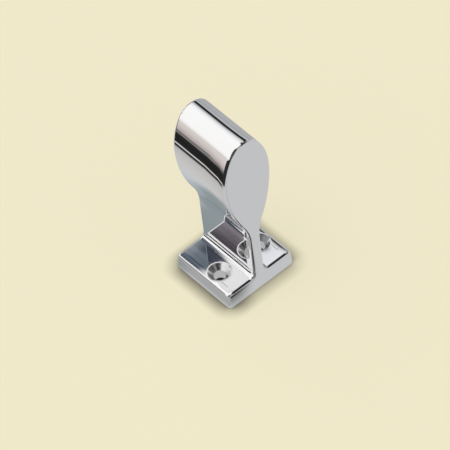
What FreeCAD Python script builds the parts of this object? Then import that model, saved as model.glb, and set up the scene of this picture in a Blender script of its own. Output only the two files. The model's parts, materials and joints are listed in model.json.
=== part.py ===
"""Handrail end bracket: one polished casting with a blind rail socket, and its grub screw.

Frame: X across the rail, Y along the rail, Z up from the mounting face.
The closed end looks towards -Y and the socket opens towards +Y.
The origin is the centre of the base's underside. Lengths are in millimetres.
"""
import FreeCAD, Part
import math
import os

Vector = FreeCAD.Vector

# Rail and socket
rail_diameter = 22.0
rail_clearance = 0.4        # on the diameter
rail_height = 86.0          # rail axis above the mounting face
socket_depth = 30.0
socket_chamfer = 0.6

# Head, measured round the socket
side_wall = 2.8             # at the head's widest line
crown_wall = 11.2           # straight above the socket
widest_drop = 2.0           # widest line of the head below the rail axis
crown_step = 3.8            # half width of the head less the radius of its crown
belly_radius = 80.0         # below the widest line

# Web and the curves at its two ends
web_thickness = 6.0
shoulder_radius = 30.0
foot_radius = 3.0

# Base
base_length = 40.0
base_width = 42.5           # at the underside
base_thickness = 8.5
base_draft = math.radians(3.0)
base_corner_radius = 1.8
edge_radius = 1.4

# Countersunk holes, one in each wing
hole_pitch = 26.4
hole_setback = 16.3         # from the closed end
hole_diameter = 6.4         # clearance for an M6 screw
countersink_diameter = 12.0
countersink_angle = math.radians(90.0)

# Grub screw that grips the rail, in the hidden flank of the head
grub_diameter = 5.0
grub_length = 5.0
grub_clearance = 0.1        # on the diameter
grub_standoff = 0.3         # from the socket's wall to the screw's tip
grub_chamfer = 0.5
grub_tilt = math.radians(45.0)
hex_key = 2.5               # across flats
hex_depth = 2.2

# Sizes that follow
socket_radius = (rail_diameter + rail_clearance) / 2
head_half = socket_radius + side_wall
widest_height = rail_height - widest_drop
web_half = web_thickness / 2
wing_half = base_width / 2 - base_thickness * math.tan(base_draft)
closed_end = -base_length / 2
open_end = base_length / 2
rail_axis = Vector(0, 0, rail_height)


def arc(centre, radius, start, end):
    """Circular arc in the XZ plane, by its angles above +X."""
    def point(angle):
        return centre + radius * Vector(math.cos(angle), 0, math.sin(angle))
    return Part.Arc(point(start), point((start + end) / 2), point(end)).toShape()


def lines(*corners):
    """Straight edges from corner to corner."""
    return [Part.LineSegment(a, b).toShape() for a, b in zip(corners, corners[1:])]


def base_half():
    """Right half of the base: underside, drafted side, wing, and the foot arc up to the web."""
    foot = Vector(web_half + foot_radius, 0, base_thickness + foot_radius)
    edges = lines(
        Vector(0, 0, 0),
        Vector(base_width / 2, 0, 0),
        Vector(wing_half, 0, base_thickness),
        Vector(foot.x, 0, base_thickness))
    edges.append(arc(foot, foot_radius, 1.5 * math.pi, math.pi))
    return edges


def neck_half():
    """Right side of the web, its hollow shoulder, and the belly up to the head's widest line.

    The shoulder's centre lies beside the web, where its arc also touches the belly's.
    """
    belly = Vector(head_half - belly_radius, 0, widest_height)
    across = web_half + shoulder_radius - belly.x
    down = math.sqrt((belly_radius + shoulder_radius) ** 2 - across ** 2)
    shoulder = belly + Vector(across, 0, -down)
    slope = math.atan2(down, across)
    edges = lines(Vector(web_half, 0, base_thickness + foot_radius), Vector(web_half, 0, shoulder.z))
    edges.append(arc(shoulder, shoulder_radius, math.pi, math.pi - slope))
    edges.append(arc(belly, belly_radius, -slope, 0))
    return edges


def crown_half():
    """Right side of the head above its widest line: a flat haunch, then the tighter crown.

    The haunch's radius is the one that touches both the widest line and the crown's arc.
    """
    rise = socket_radius + crown_wall + widest_drop
    crown_radius = head_half - crown_step
    haunch_radius = rise + (rise - head_half) ** 2 / (2 * crown_step)
    crown = Vector(0, 0, widest_height + rise - crown_radius)
    haunch = Vector(head_half - haunch_radius, 0, widest_height)
    turn = math.atan2(crown.z - haunch.z, crown.x - haunch.x)
    return [arc(haunch, haunch_radius, 0, turn), arc(crown, crown_radius, turn, math.pi / 2)]


def section():
    """The whole section: bulb, web and base in one closed outline."""
    right = base_half() + neck_half() + crown_half()
    left = [edge.mirror(Vector(0, 0, 0), Vector(1, 0, 0)) for edge in right]
    return Part.Face(Part.Wire(Part.__sortEdges__(right + left)))


def rounded(body):
    """Round the base's upright corners, then every outer edge above the underside."""
    def upright(edge):
        return edge.BoundBox.ZMin < 0.01 and edge.BoundBox.ZMax > base_thickness - 0.01
    body = body.makeFillet(base_corner_radius, [edge for edge in body.Edges if upright(edge)])

    def outer(edge):
        middle = edge.CenterOfMass
        on_end = abs(middle.y) > base_length / 2 - base_corner_radius
        on_side = abs(middle.x) > wing_half - base_corner_radius
        return edge.BoundBox.ZMin > 0.01 and (on_end or on_side)
    return body.makeFillet(edge_radius, [edge for edge in body.Edges if outer(edge)])


def screw_hole(side):
    """Through hole with its countersink, in the wing on the given side."""
    place = Vector(side * hole_pitch / 2, closed_end + hole_setback, 0)
    depth = (countersink_diameter - hole_diameter) / 2 / math.tan(countersink_angle / 2)
    drill = Part.makeCylinder(hole_diameter / 2, base_thickness, place)
    seat = place + Vector(0, 0, base_thickness - depth)
    cone = Part.makeCone(hole_diameter / 2, countersink_diameter / 2, depth, seat)
    return drill.fuse(cone)


def socket():
    """Blind socket for the rail, chamfered at its mouth."""
    floor = rail_axis + Vector(0, open_end - socket_depth, 0)
    bore = Part.makeCylinder(socket_radius, socket_depth, floor, Vector(0, 1, 0))
    lip = rail_axis + Vector(0, open_end - socket_chamfer, 0)
    mouth = Part.makeCone(
        socket_radius, socket_radius + socket_chamfer, socket_chamfer, lip, Vector(0, 1, 0))
    return bore.fuse(mouth)


def grub_place(reach):
    """Point on the grub screw's axis, at a reach from the rail axis, halfway into the socket."""
    out = Vector(math.cos(grub_tilt), 0, -math.sin(grub_tilt))
    return rail_axis + Vector(0, open_end - socket_depth / 2, 0) + reach * out, out


def grub_hole():
    """Tapped hole from inside the socket out through the flank, at its thread's diameter."""
    start, out = grub_place(socket_radius / 2)
    return Part.makeCylinder((grub_diameter + grub_clearance) / 2, rail_diameter, start, out)


def bracket():
    """The casting with its holes machined."""
    body = rounded(section().translated(Vector(0, closed_end, 0)).extrude(Vector(0, base_length, 0)))
    cuts = [screw_hole(-1), screw_hole(1), socket(), grub_hole()]
    return body.cut(cuts)


def grub_screw():
    """Set screw with a chamfered tip and a hexagon socket in its outer end."""
    tip, out = grub_place(socket_radius + grub_standoff)
    shank = Part.makeCylinder(grub_diameter / 2, grub_length)
    shank = shank.makeChamfer(grub_chamfer, [e for e in shank.Edges if len(e.Vertexes) == 1])
    corner = hex_key / math.sqrt(3)
    turns = [math.radians(60 * k) for k in range(7)]
    top = grub_length
    key = Part.makePolygon([Vector(corner * math.cos(a), corner * math.sin(a), top) for a in turns])
    screw = shank.cut(Part.Face(key).extrude(Vector(0, 0, -hex_depth)))
    screw.Placement = FreeCAD.Placement(tip, FreeCAD.Rotation(Vector(0, 0, 1), out))
    return screw


def main():
    os.makedirs("parts", exist_ok=True)
    nodes = {"bracket": bracket(), "grub_screw": grub_screw()}
    for name, shape in nodes.items():
        shape.exportStep(f"parts/{name}.step")


main()
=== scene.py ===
"""Handrail end bracket: finishes for the casting and its grub screw, the stage and the camera.

Lengths are in metres in the part's own frame: X across the rail, Y along the rail
with the socket opening towards +Y, Z up from the mounting face.
"""
import json
import math

import bmesh
import bpy
from bpy.props import FloatProperty, FloatVectorProperty, PointerProperty
from mathutils import Matrix, Vector


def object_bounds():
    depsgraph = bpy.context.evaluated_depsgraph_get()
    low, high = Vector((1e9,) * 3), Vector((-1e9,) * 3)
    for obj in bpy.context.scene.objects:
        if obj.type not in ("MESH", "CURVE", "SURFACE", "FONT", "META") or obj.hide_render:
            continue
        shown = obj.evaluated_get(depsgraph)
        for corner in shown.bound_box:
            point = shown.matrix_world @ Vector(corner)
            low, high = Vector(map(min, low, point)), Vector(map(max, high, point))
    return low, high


bl_info = {
    "name": "Handrail bracket",
    "version": (1, 0, 0),
    "blender": (4, 5, 0),
    "location": "3D View > Sidebar > Bracket",
    "description": "Finishes a handrail end bracket and sets it on a studio floor",
    "category": "Object",
}

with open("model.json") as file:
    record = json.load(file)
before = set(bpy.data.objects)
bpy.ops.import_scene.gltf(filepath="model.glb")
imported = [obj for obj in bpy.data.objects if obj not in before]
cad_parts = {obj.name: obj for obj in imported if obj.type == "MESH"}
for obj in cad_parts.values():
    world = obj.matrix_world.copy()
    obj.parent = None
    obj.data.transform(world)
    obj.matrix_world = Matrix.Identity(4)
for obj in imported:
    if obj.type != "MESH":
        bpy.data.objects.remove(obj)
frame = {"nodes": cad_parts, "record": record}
cad_box = [list(corner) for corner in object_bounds()]
mounts = {mount["name"]: mount for mount in frame["record"]["mounts"]}
slots = {material["slot"]: material for material in frame["record"]["materials"]}
rail_socket = mounts["rail_socket"]
screw_holes = mounts["screw_holes"]

# Places on the casting
closed_end = cad_box[0][1]
side_face = cad_box[1][0]
wing_top = 0.0085
rail_height = rail_socket["pos_m"][2]
socket_radius = rail_socket["dims"]["r_mm"] / 1000
socket_floor = rail_socket["pos_m"][1] - rail_socket["dims"]["length_mm"] / 2000
hole_row = screw_holes["pos_m"][1]
hole_offset = screw_holes["dims"]["spacing_x_mm"] / 2000
countersink_radius = 0.006
cutter_depth = 0.000003

# How sharply buffing rolls the surface away, as its depth over the square of the distance
head_roll = 4.5
front_roll = 18.0
rim_roll = 80.0
side_roll = 26.0
hole_roll = 600.0

# The grub screw, along its own axis from the rail's
screw_tip = socket_radius + 0.0003
screw_end = screw_tip + 0.005

# Stage and lens
web_border = -0.0723        # across the rear card, between what the web and the wing mirror
canopy_level = 0.96         # light on the open floor, as a share of white
contact_falloff = 2.2
sensor_width = 36.0         # in millimetres
clip_near = 0.1
clip_far = 20.0


# ---------------------------------------------------------------- shader maths

class Wire:
    """One output of a node. Python's operators on it add Math nodes to the same tree."""

    def __init__(self, shader, socket):
        self.shader = shader
        self.socket = socket

    def out(self, name):
        """Another output of the same node."""
        return Wire(self.shader, self.socket.node.outputs[name])

    def maths(self, operation, *values):
        return self.shader.node("Math", {"operation": operation}, dict(enumerate(values)))

    def __add__(self, other):
        return self.maths("ADD", self, other)

    def __radd__(self, other):
        return self.maths("ADD", other, self)

    def __sub__(self, other):
        return self.maths("SUBTRACT", self, other)

    def __rsub__(self, other):
        return self.maths("SUBTRACT", other, self)

    def __mul__(self, other):
        return self.maths("MULTIPLY", self, other)

    def __rmul__(self, other):
        return self.maths("MULTIPLY", other, self)

    def __truediv__(self, other):
        return self.maths("DIVIDE", self, other)

    def __pow__(self, other):
        return self.maths("POWER", self, other)

    def larger(self, other):
        """The larger of two values."""
        return self.maths("MAXIMUM", self, other)

    def unsigned(self):
        """The value without its sign."""
        return self.maths("ABSOLUTE", self)

    def wave(self):
        """Sine of the value, in radians."""
        return self.maths("SINE", self)

    def angle(self, other):
        """Angle of a point whose second coordinate is this value and whose first is the other."""
        return self.maths("ARCTAN2", self, other)

    def past(self, start):
        """How far the value lies beyond start, and 0 before it."""
        return (self - start).larger(0.0)

    def short_of(self, end):
        """How far the value falls short of end, and 0 beyond it."""
        return (end - self).larger(0.0)

    def rising(self, low, high):
        """0 below low, 1 above high and smooth in between."""
        settings = {"interpolation_type": "SMOOTHSTEP"}
        return self.shader.node("MapRange", settings, {0: self, 1: low, 2: high})

    def falling(self, low, high):
        """1 below low, 0 above high and smooth in between."""
        return 1 - self.rising(low, high)


class Shader:
    """The node tree of a material or the world, emptied for new nodes."""

    def __init__(self, owner):
        owner.use_nodes = True
        self.tree = owner.node_tree
        self.tree.nodes.clear()

    def node(self, kind, settings=None, inputs=None, output=0):
        """Add a node: its settings first, then the values or links of its sockets."""
        made = self.tree.nodes.new("ShaderNode" + kind)
        for name, value in (settings or {}).items():
            if name == "stops":
                self.set_stops(made.color_ramp.elements, value)
            else:
                setattr(made, name, value)
        for name, value in (inputs or {}).items():
            if isinstance(value, Wire):
                self.tree.links.new(value.socket, made.inputs[name])
            else:
                made.inputs[name].default_value = value
        return Wire(self, made.outputs[output]) if made.outputs else None

    @staticmethod
    def set_stops(elements, stops):
        while len(elements) < len(stops):
            elements.new(1)
        for element, (place, tone) in zip(elements, stops):
            element.position = place
            element.color = tone

    def blend(self, factor, first, second):
        """Mix two colours."""
        inputs = {0: factor, 6: first, 7: second}
        return self.node("Mix", {"data_type": "RGBA"}, inputs, output=2)

    def place(self):
        """The point on the surface in the part's frame, and its X, Y and Z."""
        point = self.node("TexCoord", output="Object")
        across = self.node("SeparateXYZ", inputs={0: point})
        return point, across, across.out("Y"), across.out("Z")

    def ramp(self, value, stops):
        """Colours along a value, each at its own place on the value's scale."""
        first, last = stops[0][0], stops[-1][0]
        placed = [((place - first) / (last - first), tone) for place, tone in stops]
        return self.node("ValToRGB", {"stops": placed}, {0: (value - first) / (last - first)})

    def brushed(self, point, scale, detail):
        """Noise drawn out by a scale of its own along each axis."""
        drawn = self.node("Mapping", None, {"Vector": point, "Scale": scale})
        return self.node("TexNoise", None, {"Vector": drawn, "Scale": 1.0, "Detail": detail})

    def bump(self, height, distance, strength=1.0, normal=None):
        """Normal of a surface raised by a height, over a normal that it already has."""
        inputs = {"Strength": strength, "Distance": distance, "Height": height}
        if normal is not None:
            inputs["Normal"] = normal
        return self.node("Bump", None, inputs)

    def metal(self, base, roughness, normal):
        """Finish the material as bare metal."""
        surface = self.node("BsdfPrincipled", None, {
            "Base Color": base, "Metallic": 1.0, "Roughness": roughness, "Normal": normal})
        self.node("OutputMaterial", None, {"Surface": surface})

    def glow(self, tone):
        """A surface that shows its colour in any light."""
        return self.node("Emission", None, {"Color": tone, "Strength": 1.0})


def apart(first, second):
    """Distance over a plane, from the distances along its two axes."""
    return (first * first + second * second) ** 0.5


def spot(across, along, middle, reach, solid, faded):
    """1 within an oval spot and 0 outside, fading between two shares of its reach."""
    beside = (across - middle[0]) / reach[0]
    beyond = (along - middle[1]) / reach[1]
    return apart(beside, beyond).falling(solid, faded)


def opaque(tint):
    return (*tint, 1)


def grey(level):
    return (level, level, level, 1)


def shade(tint, level):
    """A colour made darker or lighter."""
    return opaque([min(1, part * level) for part in tint])


# ---------------------------------------------------------------- sizes and colours

def length(name, description, default):
    return FloatProperty(
        name=name, description=description, default=default, min=0, subtype="DISTANCE", unit="LENGTH")


def colour(name, description, default):
    return FloatVectorProperty(
        name=name, description=description, default=default, min=0, max=1, subtype="COLOR")


def share(name, description, default):
    return FloatProperty(
        name=name, description=description, default=default, min=0, max=1, subtype="FACTOR")


class CastingFinish(bpy.types.PropertyGroup):
    """Finish of the casting."""
    metal: colour("Metal", "Colour of the polished metal", slots["polished_casting"]["base_color"])
    roughness: share("Polish", "Roughness of the buffed outside", 0.035)
    machined: share("Machined", "Roughness of the socket and the countersinks", 0.22)
    ripple: length("Ripple", "Depth of the buffed surface's slow waves", 0.00001)
    ripple_size: length("Ripple size", "Distance between the slow waves", 0.012)
    streaks: length(
        "Buffing streaks", "Depth of the streaks that the wheel leaves along the rail", 0.000006)
    cutter_marks: length("Cutter marks", "Distance between the rings that a cutter leaves", 0.00035)


class ScrewFinish(bpy.types.PropertyGroup):
    """Finish of the grub screw."""
    metal: colour("Steel", "Colour of the grub screw", slots["screw_steel"]["base_color"])
    roughness: share("Roughness", "Roughness of the steel", 0.3)
    thread_pitch: length("Thread pitch", "Distance between the threads", 0.0008)


class StageSettings(bpy.types.PropertyGroup):
    """Floor, light and camera."""
    floor: colour("Floor", "Colour of the floor and the backdrop", (0.863, 0.807, 0.591))
    shadow: share("Shadow", "Share of the floor's brightness that comes from the light", 0.3)
    contact_reach: length("Contact shadow", "How far the contact shadow reaches from the base", 0.009)
    floor_size: length("Floor size", "Side of the floor", 8.0)
    azimuth: FloatProperty(
        name="Azimuth", description="Direction of the camera, 0 looks along +Y",
        default=math.radians(-35.86), subtype="ANGLE", unit="ROTATION")
    elevation: FloatProperty(
        name="Elevation", description="Height of the camera above the horizon",
        default=math.radians(50.17), subtype="ANGLE", unit="ROTATION")
    roll: FloatProperty(
        name="Roll", description="Turn of the camera about its own axis",
        default=math.radians(-7.5), subtype="ANGLE", unit="ROTATION")
    distance: length("Distance", "From the camera to the point it aims at", 3.0)
    aim: FloatVectorProperty(
        name="Aim", description="Point that the camera looks at",
        default=(-0.00615, -0.00401, 0.03925), subtype="TRANSLATION", unit="LENGTH")
    focal_length: FloatProperty(
        name="Focal length", description="Of the lens, on a sensor 36 mm wide", default=485.8)


# ---------------------------------------------------------------- the casting

def rolled_normal(shader, across, along, up, from_hole, low, outside):
    """The casting's normal, bent where buffing has rolled the outside away near its rims.

    The flat closed end and the base's upright sides keep their own normal.
    """
    head = along.short_of(closed_end + 0.016) * up.rising(rail_height - 0.040, rail_height - 0.006)
    front = along.short_of(closed_end + 0.0065)
    rim = along.short_of(closed_end + 0.0035)
    side = across.unsigned().past(side_face - 0.00475) * up.falling(wing_top + 0.001, wing_top + 0.0025)
    hole = from_hole.short_of(countersink_radius + 0.0005) * low
    depth = (
        head * head * head_roll + front * front * front_roll + rim * rim * rim_roll
        + side * side * side_roll + hole * hole * hole_roll)
    rolled = shader.bump(depth * -1 * outside, 1.0)
    upright = along.falling(closed_end + 0.00003, closed_end + 0.00007)
    upright = upright.larger(up.falling(wing_top - 0.0011, wing_top - 0.001))
    plain = shader.node("NewGeometry", output="Normal")
    return shader.node("Mix", {"data_type": "VECTOR"}, {0: upright, 4: rolled, 5: plain}, output=1)


def casting_material(finish):
    """Buffed outside, turned socket and countersinks, and a ground underside."""
    material = bpy.data.materials.new("polished_casting_finish")
    shader = Shader(material)
    point, across, along, up = shader.place()
    from_rail = apart(across, up - rail_height)
    bored = from_rail.falling(socket_radius + 0.0002, socket_radius + 0.0004)
    bored = bored * along.rising(socket_floor - 0.0006, socket_floor - 0.0004)
    from_hole = apart(across.unsigned() - hole_offset, along - hole_row)
    low = up.falling(wing_top + 0.0001, wing_top + 0.0003)
    sunk = from_hole.falling(countersink_radius - 0.0001, countersink_radius + 0.0001) * low
    ground = up.falling(0.00005, 0.0002)
    machined = bored.larger(sunk)
    worked = machined.larger(ground)
    outside = 1 - machined

    waves = shader.node("TexNoise", None, {
        "Vector": point, "Scale": 1 / finish.ripple_size, "Detail": 1.0, "Roughness": 0.4})
    haze = shader.node("TexNoise", None, {
        "Vector": point, "Scale": 160.0, "Detail": 4.0, "Roughness": 0.6})
    wipes = shader.brushed(point, (900.0, 40.0, 300.0), 3.0)
    grain = shader.brushed(point, (60.0, 3000.0, 60.0), 2.0)
    rings = ((along * bored + from_hole * sunk) * (2 * math.pi / finish.cutter_marks)).wave()

    polished = shader.blend(
        0.5 + (haze - 0.5) * 0.5, shade(finish.metal, 0.975), shade(finish.metal, 1.02))
    bare = shader.blend(
        grain * ground + (rings * 0.5 + 0.5) * machined,
        shade(finish.metal, 0.72), shade(finish.metal, 0.88))
    base = shader.blend(worked, polished, bare)
    buffed = finish.roughness * (0.7 + 0.6 * wipes.rising(0.35, 0.7))
    roughness = buffed * (1 - worked) + worked * (finish.machined + ground * 0.2 * grain)

    rolled = rolled_normal(shader, across, along, up, from_hole, low, outside)
    slow = shader.bump(waves * outside, finish.ripple, normal=rolled)
    behind_face = along.rising(closed_end + 0.0005, closed_end + 0.0015)
    buffing = shader.bump(wipes * outside * behind_face, finish.streaks, normal=slow)
    fine = shader.bump(rings * machined + grain * ground, cutter_depth, normal=buffing)
    shader.metal(base, roughness, fine)
    return material


class BRACKET_OT_finish_casting(bpy.types.Operator):
    """Give the casting its buffed, turned and ground surfaces"""
    bl_idname = "bracket.finish_casting"
    bl_label = "Finish the casting"

    def execute(self, context):
        casting = frame["nodes"]["bracket"]
        casting.material_slots[0].material = casting_material(context.scene.bracket_casting)
        return {"FINISHED"}


# ---------------------------------------------------------------- the grub screw

def screw_material(finish):
    """Satin steel, with the thread as fine ridges along the screw's tilted axis."""
    material = bpy.data.materials.new("grub_screw_finish")
    shader = Shader(material)
    point, across, _, up = shader.place()
    reach = (across - (up - rail_height)) * math.sqrt(0.5)
    shank = reach.rising(screw_tip + 0.0004, screw_tip + 0.0006)
    shank = shank * reach.falling(screw_end - 0.0005, screw_end - 0.0003)
    ridges = (reach * (2 * math.pi / finish.thread_pitch)).wave()
    brushing = shader.brushed(point, (500.0, 4000.0, 500.0), 3.0)
    base = shader.blend(brushing, shade(finish.metal, 0.8), shade(finish.metal, 1.15))
    roughness = finish.roughness * (0.75 + 0.5 * brushing)
    threads = shader.bump(ridges * shank, 0.0002)
    fine = shader.bump(brushing, 0.00001, strength=0.6, normal=threads)
    shader.metal(base, roughness, fine)
    return material


class BRACKET_OT_finish_grub_screw(bpy.types.Operator):
    """Give the grub screw its satin steel and thread"""
    bl_idname = "bracket.finish_grub_screw"
    bl_label = "Finish the grub screw"

    def execute(self, context):
        screw = frame["nodes"]["grub_screw"]
        screw.material_slots[0].material = screw_material(context.scene.bracket_screw)
        return {"FINISHED"}


# ---------------------------------------------------------------- the stage

# Overhead light by its angle in degrees about the rail, from the right horizon (0) to the left (180).
overhead = (
    (0, (0.46, 0.48, 0.49, 1)),
    (22, (0.48, 0.50, 0.51, 1)),
    (28, (0.60, 0.61, 0.62, 1)),
    (35, (0.56, 0.57, 0.58, 1)),
    (36.5, grey(0.02)),
    (49, grey(0.02)),
    (52, grey(0.45)),
    (57, grey(0.85)),
    (66, (0.97, 0.98, 1.02, 1)),
    (80, (1.22, 1.21, 1.19, 1)),
    (168, (1.20, 1.19, 1.17, 1)),
    (176, (1.08, 1.04, 1.00, 1)),
    (184, (0.92, 0.87, 0.82, 1)),
)

# Painted dark reflection of a room in front of the closed end, which only the metal mirrors, by the
# angle in degrees to the right of the rail's axis.
painted_room_reflection = (
    (-90, grey(0.60)),
    (-72, grey(0.40)),
    (-62, grey(0.03)),
    (-53, grey(0.04)),
    (-48, grey(0.30)),
    (-43, grey(0.30)),
    (-37, grey(0.03)),
    (-16, grey(0.02)),
    (-9, grey(0.35)),
    (3, grey(0.62)),
    (13, grey(0.40)),
    (18, grey(0.02)),
    (34, grey(0.02)),
    (41, grey(0.30)),
    (55, grey(0.60)),
    (90, grey(0.70)),
)


def sky(stage):
    """The world: a pale canopy, and a painted dark reflection of a room in front of the closed end that
    only metal mirrors.

    The camera sees the backdrop's colour instead.
    """
    world = bpy.data.worlds.new("canopy")
    bpy.context.scene.world = world
    shader = Shader(world)
    direction = shader.node("TexCoord", output="Generated")
    across = shader.node("SeparateXYZ", inputs={0: direction})
    along, up = across.out("Y"), across.out("Z")
    turn = (math.pi - up.angle(across * -1)) / (2 * math.pi)
    stops = [(degrees / 360, tone) for degrees, tone in overhead]
    canopy = shader.node("ValToRGB", {"stops": stops}, {0: turn})
    # Painted dark reflection of a room, which only glossy rays see, in front of the closed end and over
    # the rims.
    painted_wall_reflection = shader.ramp(across.angle(along * -1) * (180 / math.pi), painted_room_reflection)
    painted_wall_reflection = shader.blend(up.rising(0.56, 0.66) * 0.9, painted_wall_reflection, grey(0.02))
    over_rims = across.rising(0.20, 0.30) * across.falling(0.45, 0.55)
    over_rims = over_rims * along.falling(-0.22, -0.14) * up.falling(0.92, 0.955)
    front = (along.falling(-0.42, -0.30) * up.falling(0.80, 0.88)).larger(over_rims)
    mirrored = shader.node("LightPath", output="Is Glossy Ray")
    light = shader.blend(front * mirrored, canopy, painted_wall_reflection)
    seen = shader.node("LightPath", output="Is Camera Ray")
    shown = shader.blend(seen, light, opaque(stage.floor))
    surface = shader.node("Background", None, {"Color": shown, "Strength": 1.0})
    shader.node("OutputWorld", None, {"Surface": surface})


def sheet_of(name, corners, material):
    """A flat stage piece from its corners."""
    mesh = bpy.data.meshes.new(name)
    shape = bmesh.new()
    shape.faces.new([shape.verts.new(corner) for corner in corners])
    shape.normal_update()
    shape.to_mesh(mesh)
    shape.free()
    piece = bpy.data.objects.new(name, mesh)
    bpy.context.scene.collection.objects.link(piece)
    mesh.materials.append(material)
    return piece


# Painted reflection of the floor behind the part for the metal to mirror, pale and dark bands by the
# distance to the right of the rail.
painted_reflection_behind = (
    (-0.800, (0.84, 0.79, 0.74, 1)),
    (-0.480, (0.74, 0.67, 0.64, 1)),
    (-0.340, (0.60, 0.53, 0.51, 1)),
    (-0.300, (0.46, 0.41, 0.40, 1)),
    (-0.284, grey(0.10)),
    (-0.270, grey(0.12)),
    (-0.258, (0.34, 0.31, 0.30, 1)),
    (-0.240, (0.24, 0.22, 0.21, 1)),
    (-0.220, grey(0.030)),
    (-0.118, grey(0.015)),
    (-0.115, (0.80, 0.79, 0.77, 1)),
    (-0.108, (0.80, 0.79, 0.77, 1)),
    (-0.105, grey(0.02)),
    (-0.092, grey(0.03)),
    (-0.084, (0.60, 0.59, 0.58, 1)),
    (-0.036, (0.70, 0.69, 0.67, 1)),
    (-0.017, (0.64, 0.68, 0.71, 1)),
    (-0.002, (0.52, 0.56, 0.59, 1)),
    (0.006, (0.38, 0.42, 0.45, 1)),
    (0.030, (0.30, 0.35, 0.38, 1)),
    (0.080, (0.45, 0.47, 0.49, 1)),
    (0.200, (0.49, 0.50, 0.50, 1)),
    (0.300, (0.50, 0.50, 0.50, 1)),
)


def floor_with_painted_shadow(shader, across, along, stage):
    """Plain paint with a contact shadow painted into its colour from ambient occlusion; the share lit
    by the light also keeps the part's soft shadow.
    """
    corner = shader.node(
        "AmbientOcclusion", {"samples": 16}, {"Distance": stage.contact_reach}, output="AO")
    # Contact shadow painted into the floor's colour from ambient occlusion, made weaker in front of the
    # closed end.
    in_front = along.falling(closed_end - 0.002, closed_end + 0.002) * across.rising(-0.016, -0.004)
    contact = 1 - (1 - corner ** contact_falloff) * (1 - in_front * 0.4)
    paint_with_painted_shadow = shader.blend(contact, grey(0), opaque(stage.floor))
    lit = shader.node("BsdfDiffuse", None, {
        "Color": shader.blend(stage.shadow / canopy_level, grey(0), paint_with_painted_shadow)})
    steady = shader.node("Emission", None, {"Color": paint_with_painted_shadow, "Strength": 1 - stage.shadow})
    return shader.node("AddShader", None, {0: lit, 1: steady})


def painted_reflection_of_floor(shader, point, across, along):
    """Painted reflection of a pale bench in front of the part and of pale and dark bands behind it,
    with painted contact shade near the base.
    """
    streaks = shader.brushed(point, (40.0, 7.0, 1.0), 3.0)
    shift = (streaks - 0.5) * 0.16 * across.falling(-0.26, -0.16)
    behind = shader.ramp(across + shift, painted_reflection_behind)
    # Painted reflection of a pale bench with a dark band on its left.
    ahead = shader.blend(across.rising(-0.125, -0.100), grey(0.03), opaque((0.675, 0.68, 0.685)))
    # Painted shade on the reflected floor in front of the closed end.
    painted_shade_under_rim = spot(across, along, (-0.015, -0.040), (0.015, 0.018), 0.6, 1.3)
    ahead = shader.blend(painted_shade_under_rim, ahead, grey(0.07))
    tone = shader.blend(along.rising(-0.005, 0.030), ahead, behind)
    # Painted contact shadow on the reflected floor along the base's left side.
    painted_shadow_left_side = along.falling(0.02, 0.035) * across.falling(-0.023, -0.021)
    painted_shadow_left_side = painted_shadow_left_side * across.rising(-0.05, -0.03)
    tone = shader.blend(painted_shadow_left_side * 0.8, tone, grey(0.42))
    # Painted shadow on the reflected floor just behind the base.
    painted_shadow_behind_base = spot(across, along, (-0.010, 0.030), (0.022, 0.022), 0.4, 1.2)
    tone = shader.blend(painted_shadow_behind_base * 0.75, tone, opaque((0.22, 0.27, 0.28)))
    return shader.glow(tone)


def floor_material(stage):
    """The painted floor, with a painted reflection of a banded bench in its place for what the metal
    mirrors.
    """
    material = bpy.data.materials.new("floor_paint")
    shader = Shader(material)
    point, across, along, _ = shader.place()
    shown = floor_with_painted_shadow(shader, across, along, stage)
    mirrored = painted_reflection_of_floor(shader, point, across, along)
    glossy = shader.node("LightPath", output="Is Glossy Ray")
    surface = shader.node("MixShader", None, {0: glossy, 1: shown, 2: mirrored})
    shader.node("OutputMaterial", None, {"Surface": surface})
    return material


def only_mirrored(piece):
    """Only the metal sees the piece: it lights nothing and casts no shadow."""
    piece.visible_camera = False
    piece.visible_diffuse = False
    piece.visible_shadow = False


def card_painted_reflection(shader, across, along, over_web, streak):
    """Painted reflections on the card: dark blue where the left wing mirrors it, and mauve where the
    web does.
    """
    foot = shader.blend(streak, opaque((0.07, 0.09, 0.12)), opaque((0.22, 0.26, 0.30)))
    foot = shader.blend(across.falling(-0.060, -0.050) * 0.75, foot, opaque((0.05, 0.055, 0.08)))
    foot = shader.blend(along.rising(0.106, 0.118) * 0.8, foot, opaque((0.40, 0.43, 0.46)))
    web = shader.blend(streak, opaque((0.09, 0.075, 0.095)), opaque((0.20, 0.18, 0.20)))
    pale = shader.blend(streak, opaque((0.30, 0.27, 0.29)), opaque((0.58, 0.55, 0.57)))
    web = shader.blend(across.falling(-0.087, -0.075) * 0.9, web, pale)
    return shader.blend(over_web, foot, web)


def card_outline(across, along, over_web, streak):
    """1 on the card and 0 off it: its slanting near edges, and a small patch at its right end."""
    web_edge = 0.0766 + (web_border - across) * 1.385
    right_part = across.rising(-0.050, -0.030)
    foot_edge = (0.090 + (across - web_border) * 0.50) * (1 - right_part)
    foot_edge = foot_edge + (0.0875 + (across + 0.015) * 0.11) * right_part
    over_foot = (1 - over_web) * across.falling(0.066, 0.072)
    card = over_web * (along - web_edge).rising(-0.006, -0.002)
    card = card + over_foot * (along - foot_edge).rising(-0.006, 0.004)
    patch = (apart(across - 0.0825, along - 0.088) + streak * 0.002).falling(0.003, 0.007)
    patch = patch + across.rising(0.0865, 0.0905) * along.falling(0.090, 0.096)
    return card + patch * 0.8


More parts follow.
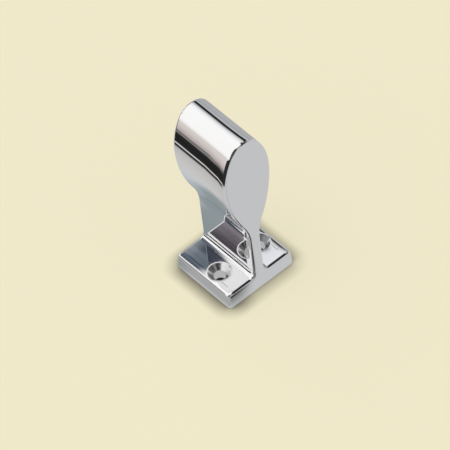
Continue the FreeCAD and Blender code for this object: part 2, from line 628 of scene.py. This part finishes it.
def rear_card_material():
    """The card over and behind the part, a glow carrying painted reflections that only the metal
    mirrors, clear outside its outline.
    """
    material = bpy.data.materials.new("rear_card")
    shader = Shader(material)
    point, across, along, _ = shader.place()
    streak = shader.brushed(point, (260.0, 26.0, 1.0), 3.0).rising(0.35, 0.70)
    over_web = across.falling(web_border - 0.001, web_border + 0.001)
    lit = shader.glow(card_painted_reflection(shader, across, along, over_web, streak))
    clear = shader.node("BsdfTransparent")
    card = card_outline(across, along, over_web, streak)
    surface = shader.node("MixShader", None, {0: card, 1: clear, 2: lit})
    shader.node("OutputMaterial", None, {"Surface": surface})
    return material


def side_card_material():
    """A black board that only the metal mirrors, for a painted dark reflection."""
    material = bpy.data.materials.new("side_card")
    shader = Shader(material)
    shader.node("OutputMaterial", None, {"Surface": shader.glow(grey(0.02))})
    return material


def stage_cards():
    """A card over and behind the part, and a low board on its left, which only the metal mirrors as
    painted reflections.
    """
    left, right, near, far, height = -0.098, 0.095, 0.068, 0.150, 0.150
    corners = [(left, near, height), (right, near, height), (right, far, height), (left, far, height)]
    only_mirrored(sheet_of("rear_card", corners, rear_card_material()))
    side, near, far, height = -0.118, 0.020, 0.130, 0.040
    corners = [(side, near, 0), (side, far, 0), (side, far, height), (side, near, height)]
    only_mirrored(sheet_of("side_card", corners, side_card_material()))


def place_camera(scene, stage):
    """Aim a camera from its azimuth, elevation and roll."""
    turn, lift, roll = stage.azimuth, stage.elevation, stage.roll
    back = Vector((math.sin(turn) * math.cos(lift), -math.cos(turn) * math.cos(lift), math.sin(lift)))
    level = Vector((math.cos(turn), math.sin(turn), 0))
    right = math.cos(roll) * level + math.sin(roll) * back.cross(level)
    axes = Matrix((right, back.cross(right), back)).transposed()
    lens = bpy.data.cameras.new("camera")
    lens.lens = stage.focal_length
    lens.sensor_width = sensor_width
    lens.clip_start = clip_near
    lens.clip_end = clip_far
    camera = bpy.data.objects.new("camera", lens)
    scene.collection.objects.link(camera)
    camera.matrix_world = Matrix.Translation(Vector(stage.aim) + stage.distance * back) @ axes.to_4x4()
    scene.camera = camera


class BRACKET_OT_stage(bpy.types.Operator):
    """Make the floor, the light and the camera"""
    bl_idname = "bracket.stage"
    bl_label = "Make the stage"

    def execute(self, context):
        stage = context.scene.bracket_stage
        half = stage.floor_size / 2
        corners = [(-half, -half, 0), (half, -half, 0), (half, half, 0), (-half, half, 0)]
        sheet_of("floor", corners, floor_material(stage))
        sky(stage)
        stage_cards()
        place_camera(context.scene, stage)
        context.scene.view_settings.view_transform = "Standard"
        return {"FINISHED"}


# ---------------------------------------------------------------- the add-on

class BRACKET_PT_panel(bpy.types.Panel):
    """Steps and sizes of the handrail bracket"""
    bl_idname = "BRACKET_PT_panel"
    bl_label = "Handrail bracket"
    bl_space_type = "VIEW_3D"
    bl_region_type = "UI"
    bl_category = "Bracket"

    def draw(self, context):
        scene = context.scene
        steps = (
            (scene.bracket_casting, BRACKET_OT_finish_casting),
            (scene.bracket_screw, BRACKET_OT_finish_grub_screw),
            (scene.bracket_stage, BRACKET_OT_stage),
        )
        for settings, step in steps:
            box = self.layout.box()
            box.operator(step.bl_idname)
            for name in settings.__annotations__:
                box.prop(settings, name)


classes = (
    CastingFinish,
    ScrewFinish,
    StageSettings,
    BRACKET_OT_finish_casting,
    BRACKET_OT_finish_grub_screw,
    BRACKET_OT_stage,
    BRACKET_PT_panel,
)
groups = {
    "bracket_casting": CastingFinish,
    "bracket_screw": ScrewFinish,
    "bracket_stage": StageSettings,
}


def register():
    for made in classes:
        bpy.utils.register_class(made)
    for name, group in groups.items():
        setattr(bpy.types.Scene, name, PointerProperty(type=group))


def unregister():
    for name in groups:
        delattr(bpy.types.Scene, name)
    for made in reversed(classes):
        bpy.utils.unregister_class(made)


def main():
    register()
    bpy.ops.bracket.stage()
    bpy.ops.bracket.finish_casting()
    bpy.ops.bracket.finish_grub_screw()


if __name__ == "__main__":
    main()
